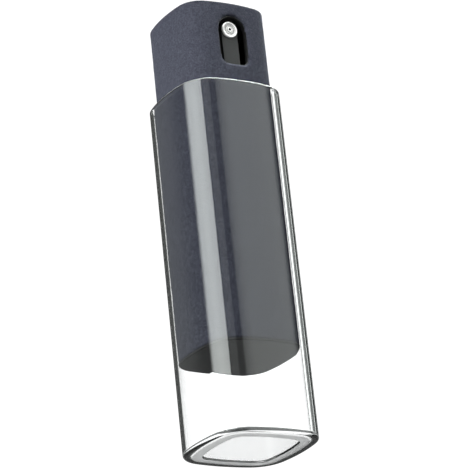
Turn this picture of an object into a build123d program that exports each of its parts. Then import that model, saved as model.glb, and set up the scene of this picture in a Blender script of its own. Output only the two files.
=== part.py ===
"""Pocket lens cleaning spray: a microfibre-wrapped case with a mist pump, drawn part way out of a
clear closed-bottom cover.

The origin is the middle of the cover's underside and +Z runs up the axis that every piece shares.
The nozzle faces -Y. All sizes are in millimetres.
"""

from build123d import *
import math
import os

os.makedirs("parts", exist_ok=True)

# The plan outline: a square with bowed sides and round corners. Every prism uses this outline,
# moved inwards by an inset, so that all the walls run parallel to each other.
cover_half_width = 15.0
side_radius = 44.2
corner_radius = 8.1

# The clear cover
cover_height = 93.0
cover_floor = 1.2
cover_wall = 1.7
foot_inset = 4.9
foot_recess_depth = 0.4
foot_round = 0.8
floor_round = 0.35
rim_round = 0.3

# The case and how far it is drawn out of the cover
drawn_out = 22.3
case_length = 92.3
wrap_inset = 2.1
wrap_thickness = 0.5
shell_wall = 1.2
hem_thickness = 0.4
hem_width = 1.4
top_edge_round = 0.35
lip_thickness = 1.4
button_opening_inset = 5.6

case_bottom = cover_floor + drawn_out
case_top = case_bottom + case_length
shell_inset = wrap_inset + wrap_thickness
cavity_inset = shell_inset + shell_wall
shell_top = case_top - hem_thickness
lip_underside = shell_top - lip_thickness

# The slot that the nozzle looks out of
slot_half_width = 4.0
slot_top = case_top - 3.7
slot_bottom = case_top - 17.1
slot_corner_radius = 2.2
wrap_slot_growth = 0.25
slot_arc_height = slot_top - slot_half_width

# The base plug
plug_rim_height = 0.6
plug_floor = 1.6
plug_height = 5.0
plug_wall = 1.2
plug_edge_round = 0.3
fit_gap = 0.05
snap_height = 3.0
snap_width = 0.6
snap_depth = 0.2

# The actuator: button, nozzle boss and the column that closes the slot below the nozzle
stroke = 4.5
nozzle_height = case_top - 6.8
nozzle_radius = 2.2
nozzle_face = 11.4
column_face = 10.85
column_half_width = 2.3
column_thickness = 1.4
column_bottom = slot_bottom - 0.8
button_gap = 0.3
button_proud = 0.6
button_skirt_wall = 1.2
button_roof = 2.0
button_edge_round = 0.5
flange_inset = 4.6
flange_height = 1.45
flange_gap = 0.15
dish_radius = 45.0
dish_depth = 0.7
socket_radius = 3.5
socket_bottom = case_top - 13.0
socket_roof = case_top - 9.0
channel_radius = 0.8
well_radius = 1.5
well_depth = 2.25
orifice_radius = 0.2
orifice_plate = 0.5
insert_wall = 0.4
insert_ring_width = 0.5
insert_ring_depth = 0.15
insert_edge_round = 0.2
rib_thickness = column_half_width / 2
post_radius = 0.7
post_root = 1.0
post_groove = 0.4

# The pump, from its plate down
plate_thickness = 1.4
plate_top = case_top - 18.6
plate_bottom = plate_top - plate_thickness
plate_hole_radius = 4.5
lug_height = 1.5
lug_depth = 0.9
lug_width = 5.0
notch_gap = 0.7

collar_radius = 8.1
collar_height = 10.0
collar_roof = 1.2
collar_bore = 7.0
collar_rib_count = 24
collar_rib = 0.3
collar_rib_width = 0.8

flange_radius = 5.8
turret_flange = 1.0
turret_hub_radius = 4.0
turret_top = plate_top + 0.2
stem_radius = 1.8
running_gap = 0.08
turret_flange_top = plate_bottom - collar_roof
turret_bottom = turret_flange_top - turret_flange
seal_radius = 3.5
seal_thickness = 0.6

housing_flange = 1.0
housing_radius = 4.1
cylinder_radius = 3.2
cylinder_depth = 14.6
housing_floor = 1.2
tail_radius = 2.4
tail_length = 5.0
tail_socket_depth = 3.8
cylinder_bottom = turret_bottom - cylinder_depth
tail_top = cylinder_bottom - housing_floor
tail_bottom = tail_top - tail_length

shoulder_gap = 0.1
shoulder_radius = 2.6
shoulder_thickness = 0.6
shoulder_top = turret_bottom - shoulder_gap
piston_top = shoulder_top - shoulder_thickness
piston_length = 4.0
piston_lip = 1.0
piston_radius = cylinder_radius - running_gap
piston_bottom = piston_top - piston_length
piston_waist_radius = 2.7
core_radius = 2.9
core_thickness = 1.1
core_spigot = 1.5
core_bottom = piston_bottom - core_thickness

spring_wire = 0.5
spring_mean_radius = 2.5
spring_turns = 5
spring_slack = 0.01

ball_radius = 1.0
ball_seat_radius = 1.8
ball_seat_depth = 1.0
ball_gap = 0.01
inlet_radius = 0.6

# The refill bottle
gasket_thickness = 0.8
gasket_outer_radius = 6.1
neck_radius = 6.3
neck_bore = 4.4
neck_height = 9.0
neck_top = turret_bottom - housing_flange - gasket_thickness
bottle_radius = 9.6
bottle_wall = 0.9
bottle_floor = 1.0
bottle_foot_round = 0.8
bottle_inner_round = 0.6
bottle_base = case_bottom + plug_floor
shoulder_height = 4.0
neck_foot = neck_top - neck_height
shoulder_foot = neck_foot - shoulder_height
inner_radius = bottle_radius - bottle_wall
thread_pitch = 2.2
thread_height = 4.4
thread_depth = 0.5
thread_width = 1.2
thread_flank = 60
thread_start = neck_foot + 1.8
tube_radius = 1.6
tube_bore = 1.0
tube_bottom = bottle_base + 2.0
tube_top = tail_bottom + tail_socket_depth - 0.1
fluid_gap = 0.05
fluid_bottom = bottle_base + bottle_floor + bottle_inner_round + fluid_gap
fluid_level = 70.0


def plan_outline(inset):
    """The plan outline moved inwards by inset, as a sketch at the origin."""
    half_width = cover_half_width - inset
    side = side_radius - inset
    corner = corner_radius - inset
    setback = side - half_width
    # The corner's centre lies on the diagonal, where the corner arc is tangent to both side arcs.
    root = math.sqrt(2 * (side - corner) ** 2 - setback**2)
    corner_centre = (root - setback) / 2
    sweep = math.degrees(math.atan2(corner_centre, corner_centre + setback))
    with BuildSketch() as outline:
        with BuildLine():
            for quarter in range(4):
                turn = 90 * quarter
                side_centre = Vector(-setback, 0).rotate(Axis.Z, turn)
                corner_point = Vector(corner_centre, corner_centre).rotate(Axis.Z, turn)
                CenterArc(side_centre, side, turn - sweep, 2 * sweep)
                CenterArc(corner_point, corner, turn + sweep, 90 - 2 * sweep)
        make_face()
    return outline.sketch


def slot_outline(growth):
    """The slot's outline, round at its top, in the X-Z plane."""
    half_width = slot_half_width + growth
    bottom = slot_bottom - growth
    with BuildSketch() as outline:
        with Locations((0, slot_arc_height)):
            Circle(half_width)
        with Locations((0, (slot_arc_height + bottom) / 2)):
            Rectangle(2 * half_width, slot_arc_height - bottom)
        lowest = outline.vertices().group_by(Axis.Y)[0]
        fillet(lowest, slot_corner_radius + growth)
    return outline.sketch


def turned(points):
    """A profile of radius and height pairs, as a face in the X-Z plane for a revolve."""
    with BuildSketch() as profile:
        with BuildLine():
            Polyline(*points, close=True)
        make_face()
    return profile.sketch


# The clear cover: a closed-bottom sleeve that stands on a foot ring
with BuildPart() as cover_sleeve:
    with BuildSketch(Plane.XY):
        add(plan_outline(0))
    extrude(amount=cover_height)
    fillet(cover_sleeve.edges().group_by(Axis.Z)[0], foot_round)
    with BuildSketch(Plane.XY.offset(cover_floor)):
        add(plan_outline(cover_wall))
    extrude(amount=cover_height - cover_floor, mode=Mode.SUBTRACT)
    floor_edges = cover_sleeve.edges().filter_by_position(Axis.Z, cover_floor, cover_floor)
    fillet(floor_edges, floor_round)
    with BuildSketch(Plane.XY):
        add(plan_outline(foot_inset))
    extrude(amount=foot_recess_depth, mode=Mode.SUBTRACT)
    fillet(cover_sleeve.edges().group_by(Axis.Z)[-1], rim_round)
cover_sleeve.part.label = "cover_sleeve"
export_step(cover_sleeve.part, "parts/cover_sleeve.step")

# The case: an open-bottomed shell with an inward lip round the button and the nozzle's slot
with BuildPart() as case_shell:
    with BuildSketch(Plane.XY.offset(case_bottom + plug_rim_height)):
        add(plan_outline(shell_inset))
    extrude(amount=shell_top - case_bottom - plug_rim_height)
    with BuildSketch(Plane.XY.offset(case_bottom + plug_rim_height)):
        add(plan_outline(cavity_inset))
    extrude(amount=lip_underside - case_bottom - plug_rim_height, mode=Mode.SUBTRACT)
    with BuildSketch(Plane.XY.offset(lip_underside)):
        add(plan_outline(button_opening_inset))
    extrude(amount=lip_thickness, mode=Mode.SUBTRACT)
    with BuildSketch(Plane.XY.offset(case_bottom + snap_height - fit_gap)):
        add(plan_outline(cavity_inset - snap_depth))
    extrude(amount=snap_width + 2 * fit_gap, mode=Mode.SUBTRACT)
    with BuildSketch(Plane.XZ.offset(cover_half_width - cavity_inset - 1)):
        add(slot_outline(0))
    extrude(amount=shell_wall + 2, mode=Mode.SUBTRACT)
    # Three lugs stop the pump plate; the front has none, because the column runs there.
    wall_middle = cover_half_width - cavity_inset + shell_wall / 2
    lug_reach = lug_depth + shell_wall / 2
    for turn in (0, 90, 180):
        lug_plane = Plane(origin=(0, 0, plate_top)).rotated((0, 0, turn))
        with BuildSketch(lug_plane):
            with Locations((wall_middle - lug_reach / 2, 0)):
                Rectangle(lug_reach, lug_width)
        extrude(amount=lug_height)
case_shell.part.label = "case_shell"
export_step(case_shell.part, "parts/case_shell.step")

# The microfibre wrap: cleaning cloth bonded round the shell and turned in over its top edge
with BuildPart() as microfibre_wrap:
    with BuildSketch(Plane.XY.offset(case_bottom + plug_rim_height)):
        add(plan_outline(wrap_inset))
    extrude(amount=case_length - plug_rim_height)
    fillet(microfibre_wrap.edges().group_by(Axis.Z)[-1], top_edge_round)
    with BuildSketch(Plane.XY.offset(case_bottom + plug_rim_height)):
        add(plan_outline(shell_inset))
    extrude(amount=shell_top - case_bottom - plug_rim_height, mode=Mode.SUBTRACT)
    with BuildSketch(Plane.XY.offset(shell_top)):
        add(plan_outline(wrap_inset + hem_width))
    extrude(amount=hem_thickness, mode=Mode.SUBTRACT)
    with BuildSketch(Plane.XZ.offset(cover_half_width - shell_inset - 1)):
        add(slot_outline(wrap_slot_growth))
    extrude(amount=wrap_thickness + 2, mode=Mode.SUBTRACT)
microfibre_wrap.part.label = "microfibre_wrap"
export_step(microfibre_wrap.part, "parts/microfibre_wrap.step")

# The base plug: a flush plate with a hollow spigot that snaps into the shell
with BuildPart() as base_plug:
    with BuildSketch(Plane.XY.offset(case_bottom)):
        add(plan_outline(wrap_inset))
    extrude(amount=plug_rim_height)
    fillet(base_plug.edges().group_by(Axis.Z)[0], plug_edge_round)
    with BuildSketch(Plane.XY.offset(case_bottom + plug_rim_height)):
        add(plan_outline(cavity_inset + fit_gap))
    extrude(amount=plug_height - plug_rim_height)
    with BuildSketch(Plane.XY.offset(case_bottom + snap_height)):
        add(plan_outline(cavity_inset + fit_gap - snap_depth))
    extrude(amount=snap_width)
    with BuildSketch(Plane.XY.offset(case_bottom + plug_floor)):
        add(plan_outline(cavity_inset + fit_gap + plug_wall))
    extrude(amount=plug_height - plug_floor, mode=Mode.SUBTRACT)
base_plug.part.label = "base_plug"
export_step(base_plug.part, "parts/base_plug.step")

# The pump plate: a bulkhead that the screw collar bears up against
with BuildPart() as pump_plate:
    with BuildSketch(Plane.XY.offset(plate_bottom)):
        add(plan_outline(cavity_inset + fit_gap))
        Circle(plate_hole_radius, mode=Mode.SUBTRACT)
        with Locations((0, -cover_half_width)):
            notch_width = 2 * (column_half_width + notch_gap)
            notch_depth = cover_half_width - column_face + column_thickness + notch_gap
            Rectangle(notch_width, 2 * notch_depth, mode=Mode.SUBTRACT)
    extrude(amount=plate_thickness)
pump_plate.part.label = "pump_plate"
export_step(pump_plate.part, "parts/pump_plate.step")

# The push button: a dished cap, held in by its flange, with a socket for the pump's stem, a boss
# for the nozzle and a column that fills the slot below the nozzle
button_inset = button_opening_inset + button_gap
flange_top = lip_underside - flange_gap
flange_bottom = flange_top - flange_height
button_top = case_top + button_proud
skirt_roof = button_top - button_roof
with BuildPart() as push_button:
    with BuildSketch(Plane.XY.offset(flange_bottom)):
        add(plan_outline(button_inset))
    extrude(amount=button_top - flange_bottom)
    fillet(push_button.edges().group_by(Axis.Z)[-1], button_edge_round)
    with BuildSketch(Plane.XY.offset(flange_bottom)):
        add(plan_outline(flange_inset))
    extrude(amount=flange_height)
    with BuildSketch(Plane.XY.offset(flange_bottom)):
        add(plan_outline(button_inset + button_skirt_wall))
    extrude(amount=skirt_roof - flange_bottom, mode=Mode.SUBTRACT)
    with Locations((0, 0, button_top - dish_depth + dish_radius)):
        Sphere(dish_radius, mode=Mode.SUBTRACT)
    with BuildSketch(Plane.XY.offset(socket_bottom)):
        Circle(socket_radius)
    extrude(amount=skirt_roof - socket_bottom)
    with BuildSketch(Plane.XZ):
        with Locations((0, nozzle_height)):
            Circle(column_half_width)
    extrude(amount=column_face)
    with BuildSketch(Plane.XZ.offset(column_face - column_thickness)):
        with Locations((0, nozzle_height)):
            Circle(column_half_width)
        with Locations((0, (nozzle_height + column_bottom) / 2)):
            Rectangle(2 * column_half_width, nozzle_height - column_bottom)
    extrude(amount=column_thickness)
    with BuildSketch(Plane.YZ.offset(-rib_thickness / 2)):
        with Locations((-column_face / 2, (nozzle_height + socket_bottom) / 2)):
            Rectangle(column_face - 1, nozzle_height - socket_bottom)
    extrude(amount=rib_thickness)
    with BuildSketch(Plane.XY.offset(socket_bottom)):
        Circle(stem_radius)
    extrude(amount=socket_roof - socket_bottom, mode=Mode.SUBTRACT)
    with BuildSketch(Plane.XY.offset(socket_roof)):
        Circle(channel_radius)
    extrude(amount=nozzle_height - socket_roof, mode=Mode.SUBTRACT)
    with BuildSketch(Plane.XZ):
        with Locations((0, nozzle_height)):
            Circle(channel_radius)
    extrude(amount=column_face, mode=Mode.SUBTRACT)
    with BuildSketch(Plane.XZ.offset(column_face - well_depth)):
        with Locations((0, nozzle_height)):
            Circle(well_radius)
    extrude(amount=well_depth, mode=Mode.SUBTRACT)
push_button.part.label = "push_button"
export_step(push_button.part, "parts/push_button.step")

# The nozzle insert: a flanged cup pressed into the boss, with the orifice in its face
with BuildPart() as nozzle_insert:
    with BuildSketch(Plane.XZ.offset(column_face)):
        with Locations((0, nozzle_height)):
            Circle(nozzle_radius)
    extrude(amount=nozzle_face - column_face)
    fillet(nozzle_insert.edges().group_by(Axis.Y)[0], insert_edge_round)
    with BuildSketch(Plane.XZ.offset(column_face - well_depth)):
        with Locations((0, nozzle_height)):
            Circle(well_radius)
    extrude(amount=well_depth)
    with BuildSketch(Plane.XZ.offset(nozzle_face)):
        with Locations((0, nozzle_height)):
            Circle(nozzle_radius - insert_ring_width)
            Circle(post_radius, mode=Mode.SUBTRACT)
    extrude(amount=-insert_ring_depth, mode=Mode.SUBTRACT)
    with BuildSketch(Plane.XZ.offset(column_face - well_depth)):
        with Locations((0, nozzle_height)):
            Circle(well_radius - insert_wall)
    extrude(amount=well_depth + nozzle_face - column_face - orifice_plate, mode=Mode.SUBTRACT)
    with BuildSketch(Plane.XZ.offset(column_face)):
        with Locations((0, nozzle_height)):
            Circle(orifice_radius)
    extrude(amount=nozzle_face - column_face, mode=Mode.SUBTRACT)
nozzle_insert.part.label = "nozzle_insert"
export_step(nozzle_insert.part, "parts/nozzle_insert.step")

# The swirl post: the core that spins the liquid in the nozzle cup
post_back = column_face - well_depth - post_root
post_front = nozzle_face - orifice_plate - 2 * fit_gap
with BuildPart() as swirl_post:
    with BuildSketch(Plane.XZ.offset(post_back)):
        with Locations((0, nozzle_height)):
            Circle(channel_radius - fit_gap)
            Rectangle(2 * channel_radius, post_groove, mode=Mode.SUBTRACT)
    extrude(amount=column_face - well_depth - post_back)
    with BuildSketch(Plane.XZ.offset(column_face - well_depth)):
        with Locations((0, nozzle_height)):
            Circle(post_radius)
    extrude(amount=post_front - column_face + well_depth)
swirl_post.part.label = "swirl_post"
export_step(swirl_post.part, "parts/swirl_post.step")

# The turret: guides the stem and clamps the pump's own gasket
with BuildPart() as turret:
    with BuildSketch(Plane.XZ):
        add(
            turned(
                [
                    (stem_radius + running_gap, turret_top),
                    (turret_hub_radius, turret_top),
                    (turret_hub_radius, turret_flange_top),
                    (flange_radius, turret_flange_top),
                    (flange_radius, turret_bottom),
                    (seal_radius, turret_bottom),
                    (seal_radius, turret_bottom + seal_thickness),
                    (stem_radius + running_gap, turret_bottom + seal_thickness),
                ]
            )
        )
    revolve(axis=Axis.Z)
turret.part.label = "turret"
export_step(turret.part, "parts/turret.step")

with BuildPart() as stem_gasket:
    with BuildSketch(Plane.XY.offset(turret_bottom)):
        Circle(seal_radius)
        Circle(stem_radius + running_gap, mode=Mode.SUBTRACT)
    extrude(amount=seal_thickness)
stem_gasket.part.label = "stem_gasket"
export_step(stem_gasket.part, "parts/stem_gasket.step")

# The screw collar: holds the pump on the bottle's neck
collar_bottom = plate_bottom - collar_height
with BuildPart() as screw_collar:
    with BuildSketch(Plane.XY.offset(collar_bottom)):
        Circle(collar_radius)
        with PolarLocations(collar_radius, collar_rib_count):
            Rectangle(2 * collar_rib, collar_rib_width)
    extrude(amount=collar_height - collar_roof / 2)
    with BuildSketch(Plane.XY.offset(plate_bottom - collar_roof / 2)):
        Circle(collar_radius)
    extrude(amount=collar_roof / 2)
    with BuildSketch(Plane.XY.offset(collar_bottom)):
        Circle(collar_bore)
    extrude(amount=collar_height - collar_roof, mode=Mode.SUBTRACT)
    with BuildSketch(Plane.XY.offset(collar_bottom)):
        Circle(turret_hub_radius + 2 * running_gap)
    extrude(amount=collar_height, mode=Mode.SUBTRACT)
screw_collar.part.label = "screw_collar"
export_step(screw_collar.part, "parts/screw_collar.step")

# The pump housing: the cylinder, the ball's seat and the tail that the dip tube pushes into
with BuildPart() as pump_housing:
    with BuildSketch(Plane.XZ):
        add(
            turned(
                [
                    (cylinder_radius, turret_bottom),
                    (flange_radius, turret_bottom),
                    (flange_radius, turret_bottom - housing_flange),
                    (housing_radius, turret_bottom - housing_flange),
                    (housing_radius, tail_top),
                    (tail_radius, tail_top),
                    (tail_radius, tail_bottom),
                    (tube_radius, tail_bottom),
                    (tube_radius, tail_bottom + tail_socket_depth),
                    (inlet_radius, tail_bottom + tail_socket_depth),
                    (inlet_radius, cylinder_bottom - ball_seat_depth),
                    (ball_seat_radius, cylinder_bottom),
                    (cylinder_radius, cylinder_bottom),
                ]
            )
        )
    revolve(axis=Axis.Z)
pump_housing.part.label = "pump_housing"
export_step(pump_housing.part, "parts/pump_housing.step")

# The inlet ball rests on the seat's cone, which it touches on a circle
seat_slope = math.atan2(ball_seat_depth, ball_seat_radius - inlet_radius)
seat_apex = cylinder_bottom - ball_seat_depth - inlet_radius * math.tan(seat_slope)
ball_height = seat_apex + (ball_radius + ball_gap) / math.cos(seat_slope)
with BuildPart() as inlet_ball:
    with Locations((0, 0, ball_height)):
        Sphere(ball_radius)
inlet_ball.part.label = "inlet_ball"
export_step(inlet_ball.part, "parts/inlet_ball.step")

# The pump spring stands on the cylinder's floor and pushes the valve core up
spring_length = core_bottom - cylinder_bottom
with BuildPart() as pump_spring:
    with BuildLine(Plane.XY.offset(cylinder_bottom + spring_wire / 2)) as coil:
        Helix(
            pitch=(spring_length - spring_wire) / spring_turns,
            height=spring_length - spring_wire,
            radius=spring_mean_radius,
        )
    with BuildSketch(Plane(coil.line @ 0, z_dir=coil.line % 0)):
        Circle(spring_wire / 2 - spring_slack)
    sweep(path=coil.line, is_frenet=True)
pump_spring.part.label = "pump_spring"
export_step(pump_spring.part, "parts/pump_spring.step")

# The valve core closes the stem's foot and seats the spring
with BuildPart() as valve_core:
    with BuildSketch(Plane.XY.offset(core_bottom)):
        Circle(core_radius)
    extrude(amount=core_thickness)
    with BuildSketch(Plane.XY.offset(piston_bottom)):
        Circle(channel_radius - fit_gap)
    extrude(amount=core_spigot)
valve_core.part.label = "valve_core"
export_step(valve_core.part, "parts/valve_core.step")

# The piston: two lips that run in the cylinder, with a waist between them
with BuildPart() as piston:
    with BuildSketch(Plane.XZ):
        add(
            turned(
                [
                    (stem_radius, piston_top),
                    (piston_radius, piston_top),
                    (piston_radius, piston_top - piston_lip),
                    (piston_waist_radius, piston_top - piston_lip),
                    (piston_waist_radius, piston_bottom + piston_lip),
                    (piston_radius, piston_bottom + piston_lip),
                    (piston_radius, piston_bottom),
                    (stem_radius, piston_bottom),
                ]
            )
        )
    revolve(axis=Axis.Z)
piston.part.label = "piston"
export_step(piston.part, "parts/piston.step")

# The pump stem: a tube with the shoulder that the turret stops
with BuildPart() as pump_stem:
    with BuildSketch(Plane.XZ):
        add(
            turned(
                [
                    (channel_radius, socket_roof),
                    (stem_radius, socket_roof),
                    (stem_radius, shoulder_top),
                    (shoulder_radius, shoulder_top),
                    (shoulder_radius, piston_top),
                    (stem_radius, piston_top),
                    (stem_radius, piston_bottom),
                    (channel_radius, piston_bottom),
                ]
            )
        )
    revolve(axis=Axis.Z)
pump_stem.part.label = "pump_stem"
export_step(pump_stem.part, "parts/pump_stem.step")

# The neck gasket seals the pump's flange on the bottle
with BuildPart() as neck_gasket:
    with BuildSketch(Plane.XY.offset(neck_top)):
        Circle(gasket_outer_radius)
        Circle(neck_bore, mode=Mode.SUBTRACT)
    extrude(amount=gasket_thickness)
neck_gasket.part.label = "neck_gasket"
export_step(neck_gasket.part, "parts/neck_gasket.step")

# The refill bottle, with a helical thread round its neck
with BuildPart() as refill_bottle:
    with BuildSketch(Plane.XZ):
        add(
            turned(
                [
                    (0, bottle_base),
                    (bottle_radius - bottle_foot_round, bottle_base),
                    (bottle_radius, bottle_base + bottle_foot_round),
                    (bottle_radius, shoulder_foot),
                    (neck_radius, neck_foot),
                    (neck_radius, neck_top),
                    (neck_bore, neck_top),
                    (neck_bore, neck_foot),
                    (inner_radius, shoulder_foot - bottle_wall / 2),
                    (inner_radius, bottle_base + bottle_floor + bottle_inner_round),
                    (inner_radius - bottle_inner_round, bottle_base + bottle_floor),
                    (0, bottle_base + bottle_floor),
                ]
            )
        )
    revolve(axis=Axis.Z)
    with BuildLine(Plane.XY.offset(thread_start)) as thread_path:
        Helix(pitch=thread_pitch, height=thread_height, radius=neck_radius)
    with BuildSketch(Plane(thread_path.line @ 0, x_dir=(1, 0, 0), z_dir=thread_path.line % 0)):
        Trapezoid(thread_width, thread_depth + 2 * fit_gap, thread_flank)
    sweep(path=thread_path.line, is_frenet=True)
refill_bottle.part.label = "refill_bottle"
export_step(refill_bottle.part, "parts/refill_bottle.step")

# The dip tube reaches from the pump's tail to just above the bottle's floor
with BuildPart() as dip_tube:
    with BuildSketch(Plane.XY.offset(tube_bottom)):
        Circle(tube_radius)
        Circle(tube_bore, mode=Mode.SUBTRACT)
    extrude(amount=tube_top - tube_bottom)
dip_tube.part.label = "dip_tube"
export_step(dip_tube.part, "parts/dip_tube.step")

# The cleaning fluid fills most of the bottle, round the dip tube
with BuildPart() as cleaning_fluid:
    with BuildSketch(Plane.XY.offset(fluid_bottom)):
        Circle(inner_radius - fluid_gap)
        Circle(tube_radius + fluid_gap, mode=Mode.SUBTRACT)
    extrude(amount=fluid_level - fluid_bottom)
cleaning_fluid.part.label = "cleaning_fluid"
export_step(cleaning_fluid.part, "parts/cleaning_fluid.step")
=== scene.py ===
"""Looks for the pocket lens cleaning spray: microfibre cloth, clear cover, nozzle and plastics.

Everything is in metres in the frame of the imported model: +Z is up, the nozzle faces -Y, and the
cover stands on z = 0.
"""

import math

import bmesh
import bpy
from mathutils import Matrix, Vector, noise


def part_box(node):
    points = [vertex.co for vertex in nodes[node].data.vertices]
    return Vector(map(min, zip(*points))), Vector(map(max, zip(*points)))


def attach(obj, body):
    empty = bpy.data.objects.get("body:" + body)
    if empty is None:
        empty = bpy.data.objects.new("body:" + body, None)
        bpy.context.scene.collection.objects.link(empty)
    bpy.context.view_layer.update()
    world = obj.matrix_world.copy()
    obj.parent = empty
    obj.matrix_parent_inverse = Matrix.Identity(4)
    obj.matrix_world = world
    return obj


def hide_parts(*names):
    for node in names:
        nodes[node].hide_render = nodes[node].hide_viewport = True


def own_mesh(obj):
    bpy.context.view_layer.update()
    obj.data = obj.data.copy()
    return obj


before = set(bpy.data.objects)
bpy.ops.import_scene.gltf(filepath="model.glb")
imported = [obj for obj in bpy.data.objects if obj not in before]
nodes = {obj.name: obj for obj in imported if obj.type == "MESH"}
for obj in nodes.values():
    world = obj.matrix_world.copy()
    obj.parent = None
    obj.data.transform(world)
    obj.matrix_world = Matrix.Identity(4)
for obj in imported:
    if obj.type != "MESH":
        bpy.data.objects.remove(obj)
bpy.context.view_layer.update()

MM = 0.001

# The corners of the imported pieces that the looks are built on
COVER_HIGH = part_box("cover_sleeve")[1]
CLOTH_LOW, CLOTH_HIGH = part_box("microfibre_wrap")
SHELL_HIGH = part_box("case_shell")[1]
NOZZLE_LOW, NOZZLE_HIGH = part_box("nozzle_insert")
SPRING_LOW, SPRING_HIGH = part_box("pump_spring")

# The plan outline that the cover, cloth and case share: bowed sides and round corners
HALF_WIDTH = COVER_HIGH.x
SIDE_RADIUS = 44.2 * MM
CORNER_RADIUS = 8.1 * MM


# ---------------------------------------------------------------- outline and mesh helpers


def outline_point(inset, s):
    """The point and outward normal of the plan outline at s, a share of its length from -Y.

    A side's arc has its centre past the axis, by setback. A corner's arc is tangent to the sides'
    and has its centre at the same distance from both axes.
    """
    side = SIDE_RADIUS - inset
    corner = CORNER_RADIUS - inset
    setback = side - (HALF_WIDTH - inset)
    centre = (math.sqrt(2 * (side - corner) ** 2 - setback**2) - setback) / 2
    sweep = math.atan2(centre, centre + setback)
    half_side = sweep * side
    corner_length = (math.pi / 2 - 2 * sweep) * corner
    quarter_length = 2 * half_side + corner_length
    quarter, along = divmod((s % 1.0) * 4 * quarter_length, quarter_length)
    if along <= half_side:
        angle = along / side
        x, y = side * math.sin(angle), setback - side * math.cos(angle)
    elif along <= half_side + corner_length:
        angle = sweep + (along - half_side) / corner
        x, y = centre + corner * math.sin(angle), -centre - corner * math.cos(angle)
    else:
        angle = math.pi / 2 - (quarter_length - along) / side
        x, y = side * math.sin(angle) - setback, -side * math.cos(angle)
    point, out = Vector((x, y)), Vector((math.sin(angle), -math.cos(angle)))
    for _ in range(int(quarter)):
        point, out = Vector((-point.y, point.x)), Vector((-out.y, out.x))
    return point, out


def outline_length(inset):
    """The length of the plan outline at this inset."""
    steps = 400
    points = [outline_point(inset, i / steps)[0] for i in range(steps)]
    return sum((points[i] - points[i - 1]).length for i in range(steps))


def ring(inset, z, count):
    """A ring of points on the plan outline at height z."""
    return [outline_point(inset, i / count)[0].to_3d() + Vector((0, 0, z)) for i in range(count)]


def arc(across, up, radius, start, end, steps):
    """Points on an arc of a profile: its centre, radius, and first and last angle in degrees."""
    angles = [math.radians(start + (end - start) * k / steps) for k in range(steps + 1)]
    return [(across + radius * math.cos(a), up + radius * math.sin(a)) for a in angles]


def supported(profile, gap, longest):
    """The profile with a point just inside each end of every flat longer than longest, so that
    smooth shading leaves the flat flat."""
    found = [profile[0]]
    for start, end in zip(profile, profile[1:]):
        length = math.dist(start, end)
        if length > longest:
            for share in (gap / length, 1 - gap / length):
                found.append(tuple(a + (b - a) * share for a, b in zip(start, end)))
        found.append(end)
    return found


def skin(bm, near, far, finish=0):
    """Faces between two closed rows of points, in the piece's material number finish."""
    count = len(near)
    for i in range(count):
        n = (i + 1) % count
        bm.faces.new((near[i], near[n], far[n], far[i])).material_index = finish


def loft(name, rings, finishes, sharp_degrees):
    """A closed solid through rings of points, with a flat cap over the first and the last.

    finishes numbers the material of each band between two rings.
    """
    bm = bmesh.new()
    rows = [[bm.verts.new(p) for p in points] for points in rings]
    for near, far, finish in zip(rows, rows[1:], finishes):
        skin(bm, near, far, finish)
    for row in (rows[0], rows[-1]):
        middle = bm.verts.new(sum((v.co for v in row), Vector()) / len(row))
        for i in range(len(row)):
            bm.faces.new((row[i - 1], row[i], middle))
    return new_object(name, bm, sharp_degrees)


def new_object(name, bm, sharp_degrees):
    """A mesh object from bm, smooth except at edges sharper than sharp_degrees."""
    bmesh.ops.recalc_face_normals(bm, faces=bm.faces)
    mesh = bpy.data.meshes.new(name)
    bm.to_mesh(mesh)
    bm.free()
    mesh.shade_smooth()
    mesh.set_sharp_from_angle(angle=math.radians(sharp_degrees))
    piece = bpy.data.objects.new(name, mesh)
    bpy.context.scene.collection.objects.link(piece)
    return piece


# ---------------------------------------------------------------- node helpers


class Nodes:
    """A node tree made from nothing, with short calls to add to it."""

    def __init__(self, tree):
        self.tree = tree
        self.tree.nodes.clear()

    def add(self, kind, **settings):
        """A new node with these settings."""
        node = self.tree.nodes.new(kind)
        for key, value in settings.items():
            setattr(node, key, value)
        return node

    def link(self, source, output, target, name):
        """A link from a node's output to another's input, each by name or number."""
        self.tree.links.new(source.outputs[output], target.inputs[name])


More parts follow.
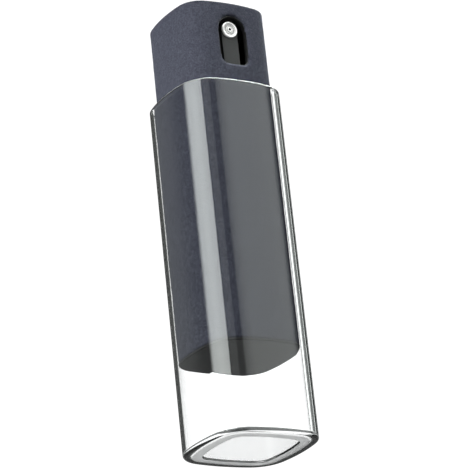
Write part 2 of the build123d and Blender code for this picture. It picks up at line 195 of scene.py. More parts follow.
class Shader(Nodes):
    """A material's node tree, with calls for the nodes that the materials share."""

    def __init__(self, name):
        self.material = bpy.data.materials.new(name)
        self.material.use_nodes = True
        super().__init__(self.material.node_tree)
        self.output = self.add("ShaderNodeOutputMaterial")
        self.main = self.add("ShaderNodeBsdfPrincipled")
        self.link(self.main, "BSDF", self.output, "Surface")

    def set(self, **values):
        """Sets the main shader's own sockets, whose names have underlines for spaces here."""
        for key, value in values.items():
            self.main.inputs[key.replace("_", " ")].default_value = value

    def noise(self, scale, detail=2.0, roughness=0.5, stretch=(1, 1, 1)):
        """Noise over the piece's own coordinates; scale is in cells per metre."""
        place = self.add("ShaderNodeTexCoord")
        mapping = self.add("ShaderNodeMapping")
        mapping.inputs["Scale"].default_value = stretch
        self.link(place, "Object", mapping, "Vector")
        texture = self.add("ShaderNodeTexNoise")
        texture.inputs["Scale"].default_value = scale
        texture.inputs["Detail"].default_value = detail
        texture.inputs["Roughness"].default_value = roughness
        self.link(mapping, "Vector", texture, "Vector")
        return texture

    def ramp(self, source, output, stops):
        """A colour ramp over a value: stops are (position, colour)."""
        node = self.add("ShaderNodeValToRGB")
        for element, (position, colour) in zip(node.color_ramp.elements, stops, strict=True):
            element.position = position
            element.color = (*colour, 1)
        self.link(source, output, node, "Fac")
        return node

    def spread(self, source, output, low, high, start=0.3, end=0.7):
        """The value mapped from start-end to low-high, and held beyond them."""
        node = self.add("ShaderNodeMapRange")
        node.inputs["From Min"].default_value = start
        node.inputs["From Max"].default_value = end
        node.inputs["To Min"].default_value = low
        node.inputs["To Max"].default_value = high
        self.link(source, output, node, "Value")
        return node

    def multiply(self, a, a_out, b, b_out):
        """Two colours multiplied."""
        node = self.add("ShaderNodeMix", data_type="RGBA", blend_type="MULTIPLY")
        node.inputs["Factor"].default_value = 1
        self.link(a, a_out, node, "A")
        self.link(b, b_out, node, "B")
        return node

    def larger(self, a, a_out, b, b_out):
        """The larger of two values."""
        node = self.add("ShaderNodeMath", operation="MAXIMUM")
        self.link(a, a_out, node, 0)
        self.link(b, b_out, node, 1)
        return node

    def colour(self, source, dark, light, start=0.3, end=0.7):
        """Base colour from dark to light with the noise."""
        tone = self.ramp(source, "Fac", ((start, dark), (end, light)))
        self.link(tone, "Color", self.main, "Base Color")

    def roughness(self, source, low, high):
        """Roughness from low to high with the noise."""
        self.link(self.spread(source, "Fac", low, high), "Result", self.main, "Roughness")

    def bump(self, source, strength, distance, after=None):
        """Relief that follows the noise, on top of the relief after."""
        node = self.add("ShaderNodeBump")
        node.inputs["Strength"].default_value = strength
        node.inputs["Distance"].default_value = distance
        self.link(source, "Fac", node, "Height")
        if after is not None:
            self.link(after, "Normal", node, "Normal")
        self.link(node, "Normal", self.main, "Normal")
        return node

    def let_through(self, share, output, tint=(1, 1, 1)):
        """Makes the surface transparent, with this tint, by the share that the output gives."""
        passing = self.add("ShaderNodeBsdfTransparent")
        passing.inputs["Color"].default_value = (*tint, 1)
        mix = self.add("ShaderNodeMixShader")
        self.link(share, output, mix, "Fac")
        self.link(self.main, "BSDF", mix, 1)
        self.link(passing, "BSDF", mix, 2)
        self.link(mix, "Shader", self.output, "Surface")


# ---------------------------------------------------------------- materials


def microfibre():
    """Brushed charcoal microfibre: short nap that lies in soft patches."""
    s = Shader("microfibre_nap")
    nap = s.noise(2400, detail=3.0, roughness=0.6)
    patches = s.noise(1000, detail=3.0, roughness=0.55)
    wide = s.noise(60)
    fine_tone = s.ramp(nap, "Fac", ((0.3, (0.022, 0.024, 0.033)), (0.72, (0.053, 0.056, 0.074))))
    patch_tone = s.ramp(patches, "Fac", ((0.32, (0.76, 0.76, 0.78)), (0.68, (1.2, 1.19, 1.17))))
    wide_tone = s.ramp(wide, "Fac", ((0.35, (0.95, 0.95, 0.96)), (0.65, (1.04, 1.04, 1.03))))
    tone = s.multiply(fine_tone, "Color", patch_tone, "Color")
    # The last factor darkens the cloth along the seam's groove: painted shade.
    for factor in (wide_tone, seam_painted_shade(s)):
        tone = s.multiply(tone, "Result", factor, "Color")
    s.link(tone, "Result", s.main, "Base Color")
    s.roughness(patches, 0.82, 0.98)
    s.set(Specular_IOR_Level=0.12, Sheen_Weight=0.06, Sheen_Roughness=0.45)
    s.set(Sheen_Tint=(0.55, 0.6, 0.75, 1))
    ground = s.bump(patches, 0.5, 0.12 * MM)
    s.bump(nap, 0.8, 0.1 * MM, after=ground)
    return s.material


def seam_painted_shade(s):
    """Painted shade along the groove of the seam down the middle of the back, where the cloth's two
    edges meet.
    """
    place = s.add("ShaderNodeTexCoord")
    split = s.add("ShaderNodeSeparateXYZ")
    s.link(place, "Object", split, "Vector")
    across = s.add("ShaderNodeMath", operation="ABSOLUTE")
    s.link(split, "X", across, "Value")
    beside = s.spread(across, "Value", 0, 1, start=0.12 * MM, end=0.4 * MM)
    front = s.spread(split, "Y", 1, 0, start=0, end=MM)
    elsewhere = s.larger(beside, "Result", front, "Result")
    # 0.38 of the colour in the groove is the painted shade.
    return s.ramp(elsewhere, "Value", ((0, (0.38, 0.38, 0.38)), (1, (1, 1, 1))))


def clear_plastic(name, rough, clear=1.0):
    """Clear styrene with the faint haze and waviness of a moulding; lamps shine through it."""
    s = Shader(name)
    s.roughness(s.noise(90, detail=3.0), *rough)
    s.set(Base_Color=(0.985, 0.99, 0.99, 1), Transmission_Weight=clear, IOR=1.5)
    s.bump(s.noise(28, detail=1.0, stretch=(1, 1, 0.35)), 0.1, 0.04 * MM)
    s.let_through(s.add("ShaderNodeLightPath"), "Is Shadow Ray", tint=(0.93, 0.94, 0.94))
    return s.material


def moulded(name, dark, light, rough=(0.35, 0.5), specular=0.5):
    """Injection-moulded plastic: a fine spark texture, slightly uneven colour and gloss."""
    s = Shader(name)
    cloud = s.noise(140, detail=3.0)
    s.colour(cloud, dark, light)
    s.roughness(cloud, *rough)
    s.set(Specular_IOR_Level=specular)
    s.bump(s.noise(2600, roughness=0.7), 0.6, 0.02 * MM)
    return s.material


def natural_plastic(name, colour, rough=(0.25, 0.4)):
    """Unpigmented polypropylene or polyethylene, which glows a little from inside."""
    s = Shader(name)
    cloud = s.noise(220, detail=3.0)
    s.colour(cloud, colour, [min(1, c * 1.06) for c in colour])
    s.roughness(cloud, *rough)
    s.set(Subsurface_Weight=0.35, Subsurface_Scale=1.5 * MM)
    s.bump(cloud, 0.2, 0.02 * MM)
    return s.material


def rubber():
    """Pale seal rubber, a little dusty."""
    s = Shader("seal_rubber")
    dust = s.noise(1500, detail=4.0)
    s.colour(dust, (0.54, 0.54, 0.52), (0.62, 0.62, 0.6), start=0.35)
    s.roughness(dust, 0.6, 0.8)
    s.bump(dust, 0.3, 0.03 * MM)
    return s.material


def stainless(name, stretch=(1, 1, 1)):
    """Stainless steel, with fine lines that run where stretch is least."""
    s = Shader(name)
    lines = s.noise(900, detail=3.0, stretch=stretch)
    s.colour(lines, (0.52, 0.53, 0.54), (0.66, 0.66, 0.67))
    s.roughness(lines, 0.18, 0.34)
    s.set(Metallic=1.0)
    s.bump(lines, 0.25, 0.02 * MM)
    return s.material


def fluid():
    """The cleaning fluid: almost water, with a pale blue tint."""
    s = Shader("cleaning_fluid_blue")
    s.colour(s.noise(70), (0.72, 0.87, 0.95), (0.8, 0.92, 0.98))
    s.set(Transmission_Weight=1.0, IOR=1.345, Roughness=0.0)
    return s.material


def dress_nodes():
    """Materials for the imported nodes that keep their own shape."""
    case = moulded("case_black", (0.004, 0.004, 0.004), (0.007, 0.007, 0.007), specular=0.2)
    plug = moulded(
        "plug_grey", (0.020, 0.020, 0.021), (0.027, 0.027, 0.028), rough=(0.5, 0.6), specular=0.15
    )
    button = moulded(
        "button_grey",
        (0.032, 0.033, 0.033),
        (0.041, 0.042, 0.042),
        rough=(0.36, 0.46),
        specular=0.05,
    )
    collar = moulded("collar_grey", (0.09, 0.09, 0.095), (0.12, 0.12, 0.125))
    pump = natural_plastic("pump_natural", (0.78, 0.79, 0.78))
    bottle = natural_plastic("bottle_natural", (0.7, 0.72, 0.72), rough=(0.3, 0.5))
    tube = natural_plastic("tube_natural", (0.74, 0.76, 0.77))
    seal = rubber()
    for node_name, material in (
        ("case_shell", case),
        ("pump_plate", case),
        ("base_plug", plug),
        ("push_button", button),
        ("turret", pump),
        ("pump_housing", pump),
        ("pump_stem", pump),
        ("piston", pump),
        ("valve_core", seal),
        ("swirl_post", case),
        ("screw_collar", collar),
        ("refill_bottle", bottle),
        ("dip_tube", tube),
        ("stem_gasket", seal),
        ("neck_gasket", seal),
        ("inlet_ball", stainless("ball_steel")),
        ("cleaning_fluid", fluid()),
    ):
        mesh = nodes[node_name].data
        mesh.materials.clear()
        mesh.materials.append(material)


# ---------------------------------------------------------------- the clear cover

COVER_WALL = 1.7 * MM
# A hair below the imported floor, so that the case doesn't touch it where it comes to rest
COVER_FLOOR = 1.15 * MM
FLOOR_ROUND = 0.35 * MM
RIM_ROUND = 0.3 * MM
# The foot: its outer edge, and the recess inside the ring that the cover stands on
FOOT_ROUND = 0.8 * MM
FOOT_INSET = 4.9 * MM
FOOT_RECESS = 0.4 * MM
FOOT_CHAMFER = 0.15 * MM
# The ring is frosted from the recess out to here, and the rim is satin to this far below its top
FROST_INSET = 2.2 * MM
SATIN_DEPTH = 0.015 * MM
COVER_SEGMENTS = 480
CLEAR, FROSTED, SATIN = 0, 1, 2


def cover_profile():
    """The cover's section as (inset, height): from the recess out, up, over the rim and down."""
    top = COVER_HIGH.z
    middle = HALF_WIDTH / 2
    profile = [(middle, FOOT_RECESS), (FOOT_INSET + FOOT_CHAMFER, FOOT_RECESS)]
    profile += [(FOOT_INSET, FOOT_RECESS - FOOT_CHAMFER), (FOOT_INSET, FOOT_CHAMFER)]
    profile += [(FOOT_INSET - FOOT_CHAMFER, 0), (FROST_INSET, 0)]
    profile += arc(FOOT_ROUND, FOOT_ROUND, FOOT_ROUND, 270, 180, 12)
    profile += arc(RIM_ROUND, top - RIM_ROUND, RIM_ROUND, 180, 90, 6)
    profile += arc(COVER_WALL - RIM_ROUND, top - RIM_ROUND, RIM_ROUND, 90, 0, 6)
    profile += arc(COVER_WALL + FLOOR_ROUND, COVER_FLOOR + FLOOR_ROUND, FLOOR_ROUND, 180, 270, 6)
    profile += [(middle, COVER_FLOOR)]
    return supported(profile, gap=0.06 * MM, longest=0.4 * MM)


def cover_finish(start, end):
    """The finish of the band between two points of the cover's profile."""
    if max(start[1], end[1]) < FOOT_CHAMFER / 2 and min(start[0], end[0]) >= FROST_INSET:
        return FROSTED
    if min(start[1], end[1]) > COVER_HIGH.z - SATIN_DEPTH:
        return SATIN
    return CLEAR


def clear_cover():
    """The clear sleeve with its floor, foot ring and rounded rim."""
    profile = cover_profile()
    rings = [ring(inset, z, COVER_SEGMENTS) for inset, z in profile]
    finishes = [cover_finish(start, end) for start, end in zip(profile, profile[1:])]
    cover = loft("clear_cover", rings, finishes, sharp_degrees=50)
    cover.data.materials.append(clear_plastic("clear_styrene", (0.0, 0.03)))
    cover.data.materials.append(clear_plastic("frosted_styrene", (0.36, 0.42)))
    cover.data.materials.append(clear_plastic("rim_styrene", (0.2, 0.3), clear=0.75))
    cover.visible_diffuse = False
    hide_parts("cover_sleeve")
    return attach(cover, "cover")


# ---------------------------------------------------------------- the microfibre cloth

# The cloth's face and back on the plan outline, and its length round the case
CLOTH_INSET = HALF_WIDTH - CLOTH_HIGH.x
SHELL_INSET = HALF_WIDTH - SHELL_HIGH.x
CLOTH_LENGTH = outline_length(CLOTH_INSET)
CLOTH_STEP = 0.5 * MM
COLUMNS = round(CLOTH_LENGTH / CLOTH_STEP)
# The top edge, where the cloth is turned in over the shell: its round outer edge, and the dip and
# the bevel of its inner one
HEM_WIDTH = 1.4 * MM
HEM_ROUND = 0.38 * MM
HEM_DIP = 0.02 * MM
HEM_BEVEL = 0.12 * MM
# The slot in the cloth, which is cut a little larger than the shell's: points within SLOT_SNAP of
# its outline are moved onto it
SLOT_HALF_WIDTH = 4.25 * MM
SLOT_TOP = CLOTH_HIGH.z - 3.45 * MM
SLOT_BOTTOM = CLOTH_HIGH.z - 17.35 * MM
SLOT_CORNER = 2.45 * MM
SLOT_SNAP = 0.55 * CLOTH_STEP
# Cut edges roll back this far in and this deep
EDGE_ROLL = 0.9 * MM
EDGE_DROP = 0.22 * MM
# The seam down the back: a groove with a low lip on each side
SEAM_HALF_WIDTH = 0.55 * MM
SEAM_DEPTH = 0.34 * MM
SEAM_LIP = 0.08 * MM
# Unevenness of the face, with how many times a metre it changes; the nap is pressed down on the hem
NAP_HEIGHT, NAP_SCALE = 0.045 * MM, 1100
WAVE_HEIGHT, WAVE_SCALE = 0.05 * MM, 140
HEM_NAP_HEIGHT = 0.4 * NAP_HEIGHT


def slot_distance(x, z):
    """Signed distance from the slot's outline, negative inside it, and the way out of it."""
    arc_centre = SLOT_TOP - SLOT_HALF_WIDTH
    side = 1 if x >= 0 else -1
    if z > arc_centre:
        out = Vector((x, z - arc_centre))
        return out.length - SLOT_HALF_WIDTH, out.normalized()
    past_side = abs(x) - (SLOT_HALF_WIDTH - SLOT_CORNER)
    past_foot = SLOT_BOTTOM + SLOT_CORNER - z
    if past_side > 0 and past_foot > 0:
        out = Vector((side * past_side, -past_foot))
        return out.length - SLOT_CORNER, out.normalized()
    if abs(x) - SLOT_HALF_WIDTH > SLOT_BOTTOM - z:
        return abs(x) - SLOT_HALF_WIDTH, Vector((side, 0))
    return SLOT_BOTTOM - z, Vector((0, -1))


def near_slot(place):
    """True on the part of the front that the slot is cut in."""
    return place.y < 0 and abs(place.x) < 2 * SLOT_HALF_WIDTH


def front_y(inset, x):
    """The front wall's y at x, on the bowed side of the outline."""
    side = SIDE_RADIUS - inset
    return side - (HALF_WIDTH - inset) - math.sqrt(side**2 - x**2)


def snapped(place, inset):
    """The place on the wall, moved onto the slot's outline if it is close to it."""
    if not near_slot(place):
        return place
    distance, out = slot_distance(place.x, place.z)
    if abs(distance) >= SLOT_SNAP:
        return place
    x, z = place.x - out.x * distance, place.z - out.y * distance
    return Vector((x, front_y(inset, x), z))


def cloth_lift(place, s):
    """How far the cloth's face stands out from its mean surface at a place on the wall."""
    lift = NAP_HEIGHT * noise.noise(place * NAP_SCALE)
    lift += WAVE_HEIGHT * noise.noise(place * WAVE_SCALE)
    from_seam = abs(s - 0.5) * CLOTH_LENGTH
    if from_seam < SEAM_HALF_WIDTH:
        lift -= SEAM_DEPTH * (1 - (from_seam / SEAM_HALF_WIDTH) ** 2)
    elif from_seam < 3 * SEAM_HALF_WIDTH:
        lift += SEAM_LIP * (1 - abs(from_seam / SEAM_HALF_WIDTH - 2))
    below_edge = place.z - CLOTH_LOW.z
    if below_edge < EDGE_ROLL:
        lift -= EDGE_DROP * (1 - below_edge / EDGE_ROLL) ** 2
    if near_slot(place):
        from_slot = slot_distance(place.x, place.z)[0]
        if from_slot < EDGE_ROLL:
            lift -= EDGE_DROP * (1 - max(from_slot, 0) / EDGE_ROLL) ** 2
    return lift


def wall_row(bm, z, inset, lifted):
    """A row of the cloth's points at height z; lifted is for its face, which has the nap."""
    row = []
    for i in range(COLUMNS):
        s = i / COLUMNS
        on_outline, out = outline_point(inset, s)
        place = snapped(Vector((*on_outline, z)), inset)
        if lifted:
            place = place + (out * cloth_lift(place, s)).to_3d()
        row.append(bm.verts.new(place))
    return row


def cell_corners(grid, i, j):
    """The corners of the grid's cell in column i and row j, round it from the lower left."""
    n = (i + 1) % COLUMNS
    return [grid[j][i], grid[j][n], grid[j + 1][n], grid[j + 1][i]]


def in_slot(corners):
    """True if the cell's middle lies in the slot."""
    middle = sum((corner.co for corner in corners), Vector()) / 4
    return near_slot(middle) and slot_distance(middle.x, middle.z)[0] < 0


def add_wall(bm, outer, inner):
    """The cloth's face and back, and its cut edges at the bottom and round the slot."""
    rows = len(outer) - 1
    cells = [(i, j) for j in range(rows) for i in range(COLUMNS)]
    kept = {cell for cell in cells if not in_slot(cell_corners(outer, *cell))}
    for i, j in sorted(kept):
        front = cell_corners(outer, i, j)
        back = cell_corners(inner, i, j)
        bm.faces.new(front)
        bm.faces.new(back[::-1])
        beside = ((i, j - 1), ((i + 1) % COLUMNS, j), (i, j + 1), ((i - 1) % COLUMNS, j))
        for k, cell in enumerate(beside):
            if cell not in kept and cell[1] != rows:
                n = (k + 1) % 4
                bm.faces.new((front[n], front[k], back[k], back[n]))


def hem_profile():
    """The hem's section as (inset, height): over the round edge, inwards and down to the shell."""
    top = CLOTH_HIGH.z
    end = CLOTH_INSET + HEM_WIDTH
    profile = arc(CLOTH_INSET + HEM_ROUND, top - HEM_ROUND, HEM_ROUND, 180, 90, 5)
    profile += [(CLOTH_INSET + HEM_WIDTH * share, top) for share in (0.45, 0.65)]
    profile += [(end - HEM_BEVEL, top - HEM_DIP), (end, top - HEM_DIP - HEM_BEVEL)]
    profile += [(end, SHELL_HIGH.z), (SHELL_INSET + 0.2 * MM, SHELL_HIGH.z)]
    return profile


def add_hem(bm, outer_top, inner_top):
    """The cloth's top, from the top row of its face round to the top row of its back."""
    previous = outer_top
    for inset, z in hem_profile():
        points = ring(inset, z, COLUMNS)
        if z > SHELL_HIGH.z:
            for point in points:
                point.z += HEM_NAP_HEIGHT * noise.noise(point * NAP_SCALE)
        row = [bm.verts.new(point) for point in points]
        skin(bm, previous, row)
        previous = row
    skin(bm, previous, inner_top)


def microfibre_cloth():
    """The cleaning cloth bonded round the case: cut for the slot, turned in over the top edge."""
    bm = bmesh.new()
    height = SHELL_HIGH.z - CLOTH_LOW.z
    rows = round(height / CLOTH_STEP)
    heights = [CLOTH_LOW.z + height * j / rows for j in range(rows + 1)]
    outer = [wall_row(bm, z, CLOTH_INSET, lifted=True) for z in heights]
    inner = [wall_row(bm, z, SHELL_INSET, lifted=False) for z in heights]
    add_wall(bm, outer, inner)
    add_hem(bm, outer[-1], inner[-1])
    for vert in [v for v in bm.verts if not v.link_faces]:
        bm.verts.remove(vert)
    cloth = new_object("microfibre_cloth", bm, sharp_degrees=75)
    cloth.data.materials.append(microfibre())
    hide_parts("microfibre_wrap")
    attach(cloth, "case")
    return cloth


# ---------------------------------------------------------------- the nozzle insert

# Radii from the axis out: the orifice, the boss round it, the tube's bore and outside, the groove's
# outer edge and the flange
ORIFICE_RADIUS = 0.32 * MM
BOSS_RADIUS = 0.75 * MM
BORE_RADIUS = 1.1 * MM
TUBE_RADIUS = 1.5 * MM
FLANGE_RADIUS = NOZZLE_HIGH.x
GROOVE_RADIUS = FLANGE_RADIUS - 0.5 * MM
# Places along the axis, from the face back
NOZZLE_FACE, NOZZLE_BACK = NOZZLE_LOW.y, NOZZLE_HIGH.y
GROOVE_FLOOR = NOZZLE_FACE + 0.2 * MM
FACE_BACK = NOZZLE_FACE + 0.5 * MM
FLANGE_BACK = NOZZLE_FACE + 0.55 * MM
FLANGE_ROUND = 0.2 * MM
BOSS_BEVEL = 0.08 * MM
# The ring of dimples in the groove
DIMPLES = 16
DIMPLE_RING = (BOSS_RADIUS + GROOVE_RADIUS) / 2 + 0.05 * MM
DIMPLE_RADIUS = 0.19 * MM
DIMPLE_DEPTH = 0.24 * MM
LATHE_SEGMENTS = 192
# The material numbers: white rim, grey disc, and a near-black for the orifice and the bore, which
# is painted shade inside the hole.
WHITE, DISC, BORE_PAINTED_SHADE = 0, 1, 2


def nozzle_profile():
    """The insert's section as stretches of (radius, y), each with its material's number."""
    face, floor = NOZZLE_FACE, GROOVE_FLOOR
    groove_width = GROOVE_RADIUS - BOSS_RADIUS
    disc = [(ORIFICE_RADIUS, face + 0.06 * MM), (ORIFICE_RADIUS + BOSS_BEVEL, face)]
    disc += [(BOSS_RADIUS - BOSS_BEVEL, face), (BOSS_RADIUS, face + 0.05 * MM)]
    disc += [(BOSS_RADIUS + 0.04 * MM, floor)]
    disc += [(BOSS_RADIUS + groove_width * k / 12, floor) for k in range(1, 12)]
    disc += [(GROOVE_RADIUS - 0.02 * MM, floor)]
    rim = [(GROOVE_RADIUS, face + 0.04 * MM), (GROOVE_RADIUS + 0.06 * MM, face)]
    rim += arc(FLANGE_RADIUS - FLANGE_ROUND, face + FLANGE_ROUND, FLANGE_ROUND, -90, 0, 6)
    rim += [(FLANGE_RADIUS, FLANGE_BACK), (TUBE_RADIUS, FLANGE_BACK), (TUBE_RADIUS, NOZZLE_BACK)]
    bore = [(BORE_RADIUS, NOZZLE_BACK), (BORE_RADIUS, FACE_BACK), (ORIFICE_RADIUS, FACE_BACK)]
    return ((disc, DISC), (rim, WHITE), (bore, BORE_PAINTED_SHADE))


def dimple_depth(radius, angle):
    """How deep the ring of dimples is at this place on the groove's floor."""
    pitch = 2 * math.pi / DIMPLES
    from_dimple = angle - round(angle / pitch) * pitch
    across = Vector((radius * math.cos(from_dimple) - DIMPLE_RING, radius * math.sin(from_dimple)))
    return DIMPLE_DEPTH * max(0.0, 1 - (across.length / DIMPLE_RADIUS) ** 2)


def nozzle_row(bm, radius, y):
    """A ring of the insert's points about its axis, pressed in at the dimples."""
    centre_z = (NOZZLE_LOW.z + NOZZLE_HIGH.z) / 2
    in_groove = BOSS_RADIUS < radius < GROOVE_RADIUS and y < FACE_BACK
    row = []
    for i in range(LATHE_SEGMENTS):
        angle = 2 * math.pi * i / LATHE_SEGMENTS
        depth = dimple_depth(radius, angle) if in_groove else 0
        x, up = radius * math.cos(angle), radius * math.sin(angle)
        row.append(bm.verts.new((x, y + depth, centre_z + up)))
    return row


def mist_nozzle():
    """The white nozzle insert: rim, groove with a ring of dimples, and the orifice's boss."""
    bm = bmesh.new()
    rows, finishes = [], []
    for stretch, finish in nozzle_profile():
        rows += [nozzle_row(bm, radius, y) for radius, y in stretch]
        finishes += [finish] * len(stretch)
    for near, far, finish in zip(rows, rows[1:] + rows[:1], finishes):
        skin(bm, near, far, finish)
    nozzle = new_object("mist_nozzle", bm, sharp_degrees=40)
    white = moulded(
        "nozzle_white",
        (0.93, 0.93, 0.92),
        (0.97, 0.97, 0.96),
        rough=(0.15, 0.25),
        specular=0.9,
    )
    disc = moulded("nozzle_disc", (0.5, 0.5, 0.49), (0.58, 0.58, 0.57), rough=(0.3, 0.4))
    # Near-black on the orifice's wall and the bore behind it: painted shade inside the hole of the
    # white insert.
    bore = moulded("nozzle_bore_painted_shade", (0.02, 0.02, 0.02), (0.03, 0.03, 0.03))
    for material in (white, disc, bore):
        nozzle.data.materials.append(material)
    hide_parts("nozzle_insert")
    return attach(nozzle, "actuator")


# ---------------------------------------------------------------- the return spring

WIRE_RADIUS = 0.24 * MM
COIL_RADIUS = SPRING_HIGH.x - WIRE_RADIUS
SPRING_TURNS = 5
# How much of a turn is wound closed at each end, and its pitch
CLOSED_TURNS = 0.75
CLOSED_PITCH = 2.1 * WIRE_RADIUS
TURN_SEGMENTS = 48
WIRE_SEGMENTS = 12


def spring_height(turn):
    """How far the wire has risen after this many turns, with a closed turn at each end."""
    travel = SPRING_HIGH.z - SPRING_LOW.z - 2 * WIRE_RADIUS
    all_open = SPRING_TURNS - 2 * CLOSED_TURNS
    open_pitch = (travel - 2 * CLOSED_TURNS * CLOSED_PITCH) / all_open
    open_turns = min(max(turn - CLOSED_TURNS, 0), all_open)
    return CLOSED_PITCH * (turn - open_turns) + open_pitch * open_turns


def return_spring():
    """The coil spring under the valve core, which shortens as the button goes down."""
    bm = bmesh.new()
    rows = []
    for k in range(SPRING_TURNS * TURN_SEGMENTS + 1):
        turn = k / TURN_SEGMENTS
        out = Vector((math.cos(2 * math.pi * turn), math.sin(2 * math.pi * turn), 0))
        height = SPRING_LOW.z + WIRE_RADIUS + spring_height(turn)
        middle = out * COIL_RADIUS + Vector((0, 0, height))
        row = []
        for i in range(WIRE_SEGMENTS):
            angle = 2 * math.pi * i / WIRE_SEGMENTS
            around = out * math.cos(angle) + Vector((0, 0, math.sin(angle)))
            row.append(bm.verts.new(middle + around * WIRE_RADIUS))
        rows.append(row)
    for near, far in zip(rows, rows[1:]):
        skin(bm, near, far)
    bm.faces.new(rows[0])
    bm.faces.new(rows[-1])
    spring = new_object("return_spring", bm, sharp_degrees=60)
    spring.data.materials.append(stainless("spring_wire", stretch=(1, 1, 6)))
    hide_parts("pump_spring")
    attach(spring, "case")
    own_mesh(spring)
    return spring


# ---------------------------------------------------------------- camera and floor

# The camera's direction from the object and its roll, in degrees, how far off it stands, and the
# point that it looks at: a height on the axis and a step to the right
CAMERA_AZIMUTH, CAMERA_ELEVATION, CAMERA_ROLL = -32.155, -21.177, -6.129
CAMERA_DISTANCE = 632.94 * MM
TARGET_HEIGHT, TARGET_ACROSS = 56.394 * MM, 1.729 * MM
# Its lens and sensor, in the millimetres that Blender counts them in
CAMERA_LENS, CAMERA_SENSOR = 192.15, 36
CLIP_START = 10 * MM

# The floor's half width, and where it begins to fade and is gone, all from the middle
FLOOR_REACH = 3
FLOOR_FADE, FLOOR_END = 0.25, 0.9
# It lies this far below the object, so that the two faces don't meet
FLOOR_GAP = 0.05 * MM


def direction(azimuth, elevation):
    """The way from the object at these degrees: azimuths go from the front (-Y) towards +X."""
    a, e = math.radians(azimuth), math.radians(elevation)
    return Vector((math.sin(a) * math.cos(e), -math.cos(a) * math.cos(e), math.sin(e)))


def add_camera():
    """A long lens from below the front left corner, rolled so that the spray leans left."""
    back = direction(CAMERA_AZIMUTH, CAMERA_ELEVATION)
    roll = math.radians(CAMERA_ROLL)
    across = (-back).cross(Vector((0, 0, 1))).normalized()
    up = across.cross(-back)
    right = math.cos(roll) * across + math.sin(roll) * up
    top = -math.sin(roll) * across + math.cos(roll) * up
    target = Vector((0, 0, TARGET_HEIGHT)) + across * TARGET_ACROSS
    data = bpy.data.cameras.new("camera")
    data.lens = CAMERA_LENS
    data.sensor_width = CAMERA_SENSOR
    data.clip_start = CLIP_START
    camera = bpy.data.objects.new("camera", data)
    turn = Matrix((right, top, back)).transposed().to_4x4()
    camera.matrix_world = Matrix.Translation(target + back * CAMERA_DISTANCE) @ turn
    bpy.context.scene.collection.objects.link(camera)
    bpy.context.scene.camera = camera


def floor_pale():
    """Pale and dull from above, soft-edged, and not there from below or for the lamps.

    Light that came up through it, as in the main view, finds its top a dark card: that is what the
    cover's foot mirrors.
    """
    s = Shader("floor_pale")
    side = s.add("ShaderNodeNewGeometry")
    path = s.add("ShaderNodeLightPath")
    place = s.add("ShaderNodeTexCoord")
    pale = s.ramp(s.noise(40), "Fac", ((0.3, (0.5, 0.5, 0.5)), (0.7, (0.52, 0.52, 0.52))))
    from_below = s.spread(path, "Transparent Depth", 0, 1, start=0, end=1)
    colour = s.add("ShaderNodeMix", data_type="RGBA")
    s.link(from_below, "Result", colour, "Factor")
    s.link(pale, "Color", colour, "A")
    colour.inputs["B"].default_value = (0.17, 0.17, 0.17, 1)
    s.link(colour, "Result", s.main, "Base Color")
    s.set(Roughness=1.0, Specular_IOR_Level=0.0)
    from_middle = s.add("ShaderNodeVectorMath", operation="LENGTH")
    s.link(place, "Object", from_middle, "Vector")
    faded = s.spread(from_middle, "Value", 0, 1, start=FLOOR_FADE, end=FLOOR_END)
    unseen = s.larger(side, "Backfacing", path, "Is Shadow Ray")
    gone = s.larger(unseen, "Value", faded, "Result")
    s.let_through(gone, "Value")
    return s.material


def add_floor():
    """A pale floor that is seen from above only, because the main camera looks up from below it."""
    bm = bmesh.new()
    bmesh.ops.create_grid(bm, x_segments=1, y_segments=1, size=FLOOR_REACH)
    mesh = bpy.data.meshes.new("floor")
    bm.to_mesh(mesh)
    bm.free()
    mesh.materials.append(floor_pale())
    floor = bpy.data.objects.new("floor", mesh)
    floor.location.z = -FLOOR_GAP
    bpy.context.scene.collection.objects.link(floor)


# ---------------------------------------------------------------- light

# Softboxes as the glossy surfaces see them: azimuths in degrees from the front (-Y) towards +X
# where each begins, is full, is still full and ends, and its strength
SOFTBOXES = (
    (-120, -97, -46, -40, 8.6),
    (-40, -38, -17, -11, 0.7),
    (4, 20, 49, 55, 2.35),
    (61, 74, 84, 90, 2.7),
    (-178, -168, -150, -126, 0.32),
)
# Strip lamps that only light inside the clear wall sees, and those that the gloss sees too
WALL_STRIPS = ((-97, -92, -70, -62, 1.3),)
SIDE_STRIPS = (
    (86, 90, 99, 101, 1.3),
    (122, 125, 129, 132, 0.85),
    (142, 146, 150, 154, 0.15),
)
# The elevations where all of them, and the flags below, begin, are full, are still full and end
BOX_HEIGHTS = (9, 14, 40, 50)
# The softboxes overhead, which only the cover's outside mirrors, and the elevations where they
# begin and are full
OVERHEAD_BOXES = ((-80, -60, 100, 120, 28.0), (-178, -168, -100, -80, 4.0))
OVERHEAD_HEIGHTS = (30, 42)
# What the gloss mirrors below the softboxes, where the backdrop meets the floor
HORIZON = 0.7
# What dull surfaces see all round, and what gloss sees between the softboxes
AMBIENT = 0.36
STUDIO_DARK = 0.02
# The white backdrop, which black flags flank above the floor: azimuths as for the softboxes
BACKDROP = (105, 120, 165, 179)
BACKDROP_STRENGTH = 1.1
BACKDROP_THROUGH_PLASTIC = 1.5
FLAG_STRENGTH = 0.01
REFLECTED_TINT = (0.95, 1.0, 0.98, 1)
# The square area lamps, which light dull surfaces alone, and the point that they are aimed at
LAMP_DISTANCE = 0.9
LAMP_SIZE = 0.5
LAMP_TARGET = Vector((0, 0, 0.06))


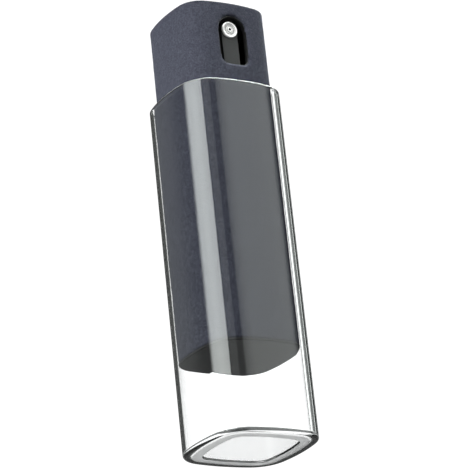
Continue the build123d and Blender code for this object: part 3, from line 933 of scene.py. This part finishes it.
class Sky(Nodes):
    """The world's node tree, with calls for sums on sockets and numbers."""

    def calc(self, operation, a, b=0.0):
        """The operation on two sockets or numbers."""
        node = self.add("ShaderNodeMath", operation=operation)
        for socket, value in zip(node.inputs, (a, b)):
            if isinstance(value, (int, float)):
                socket.default_value = value
            else:
                self.tree.links.new(value, socket)
        return node.outputs["Value"]

    def step(self, value, start, end):
        """From 0 at start smoothly up to 1 at end."""
        node = self.add("ShaderNodeMapRange", interpolation_type="SMOOTHSTEP")
        self.tree.links.new(value, node.inputs["Value"])
        node.inputs["From Min"].default_value = start
        node.inputs["From Max"].default_value = end
        return node.outputs["Result"]

    def window(self, value, start, full, still_full, end):
        """1 between full and still_full, and smoothly down to 0 at start and end."""
        up = self.step(value, start, full)
        down = self.calc("SUBTRACT", 1.0, self.step(value, still_full, end))
        return self.calc("MULTIPLY", up, down)

    def blend(self, share, first, second):
        """The first value where share is 0, and the second where it is 1."""
        part = self.calc("MULTIPLY", share, self.calc("SUBTRACT", second, first))
        return self.calc("ADD", part, first)

    def cards(self, azimuth, rows):
        """The light of a row of cards round the object."""
        total = STUDIO_DARK
        for *edges, strength in rows:
            card = self.calc("MULTIPLY", self.window(azimuth, *edges), strength)
            total = self.calc("ADD", card, total)
        return total

    def look(self):
        """The azimuth and the elevation that the world is seen at, in degrees."""
        place = self.add("ShaderNodeTexCoord")
        split = self.add("ShaderNodeSeparateXYZ")
        self.link(place, "Generated", split, "Vector")
        x, y, z = split.outputs
        azimuth = self.calc("ARCTAN2", x, self.calc("MULTIPLY", y, -1.0))
        elevation = self.calc("ARCSINE", z)
        return [self.calc("MULTIPLY", angle, math.degrees(1)) for angle in (azimuth, elevation)]

    def passed(self, path, kind):
        """1 for light that met a surface of this kind on its way, else 0."""
        return self.calc("GREATER_THAN", path.outputs[f"{kind} Depth"], 0.5)


def add_world():
    """White behind the object, softboxes in its gloss and an even light on its dull surfaces."""
    world = bpy.data.worlds.new("studio")
    bpy.context.scene.world = world
    world.use_nodes = True
    sky = Sky(world.node_tree)
    azimuth, elevation = sky.look()
    tall = sky.window(elevation, *BOX_HEIGHTS)
    above = sky.step(elevation, *OVERHEAD_HEIGHTS)
    below = sky.calc("SUBTRACT", 1.0, sky.step(elevation, *BOX_HEIGHTS[:2]))
    horizon = sky.calc("MULTIPLY", below, HORIZON)
    overhead = sky.calc("MULTIPLY", sky.cards(azimuth, OVERHEAD_BOXES), above)
    mirrored = sky.calc("MULTIPLY", sky.cards(azimuth, SOFTBOXES + SIDE_STRIPS), tall)
    mirrored = sky.calc("ADD", sky.calc("ADD", mirrored, overhead), horizon)
    inside = sky.calc("MULTIPLY", sky.cards(azimuth, WALL_STRIPS + SIDE_STRIPS), tall)
    inside = sky.calc("ADD", inside, horizon)
    behind = sky.window(azimuth, *BACKDROP)
    flags = sky.calc("MULTIPLY", sky.calc("SUBTRACT", 1.0, behind), tall)
    through = sky.blend(flags, BACKDROP_THROUGH_PLASTIC, FLAG_STRENGTH)
    path = sky.add("ShaderNodeLightPath")
    dull, gloss, bent = (sky.passed(path, kind) for kind in ("Diffuse", "Glossy", "Transmission"))
    seen = sky.blend(bent, BACKDROP_STRENGTH, through)
    reflected = sky.blend(bent, mirrored, inside)
    strength = sky.blend(dull, sky.blend(gloss, seen, reflected), AMBIENT)
    tint = sky.add("ShaderNodeMix", data_type="RGBA")
    sky.tree.links.new(gloss, tint.inputs["Factor"])
    tint.inputs["A"].default_value = (1, 1, 1, 1)
    tint.inputs["B"].default_value = REFLECTED_TINT
    background = sky.add("ShaderNodeBackground")
    sky.tree.links.new(strength, background.inputs["Strength"])
    sky.link(tint, "Result", background, "Color")
    sky.link(background, "Background", sky.add("ShaderNodeOutputWorld"), "Surface")


def add_lamp(name, azimuth, elevation, power):
    """A soft area light aimed at the middle of the object; it leaves no highlight of its own."""
    data = bpy.data.lights.new(name, "AREA")
    data.shape = "SQUARE"
    data.size = LAMP_SIZE
    data.energy = power
    lamp = bpy.data.objects.new(name, data)
    way = direction(azimuth, elevation)
    lamp.location = LAMP_TARGET + way * LAMP_DISTANCE
    lamp.rotation_mode = "QUATERNION"
    lamp.rotation_quaternion = way.to_track_quat("Z", "Y")
    lamp.visible_glossy = False
    lamp.visible_transmission = False
    lamp.visible_camera = False
    bpy.context.scene.collection.objects.link(lamp)


def add_studio():
    """The camera, the floor and the light."""
    add_camera()
    add_floor()
    add_world()
    add_lamp("key", -70, 25, 14.5)
    add_lamp("fill", 30, 25, 2.4)
    add_lamp("back", 150, 45, 4.0)
    bpy.context.scene.view_settings.view_transform = "Standard"


add_studio()
dress_nodes()
clear_cover()
microfibre_cloth()
mist_nozzle()
return_spring()
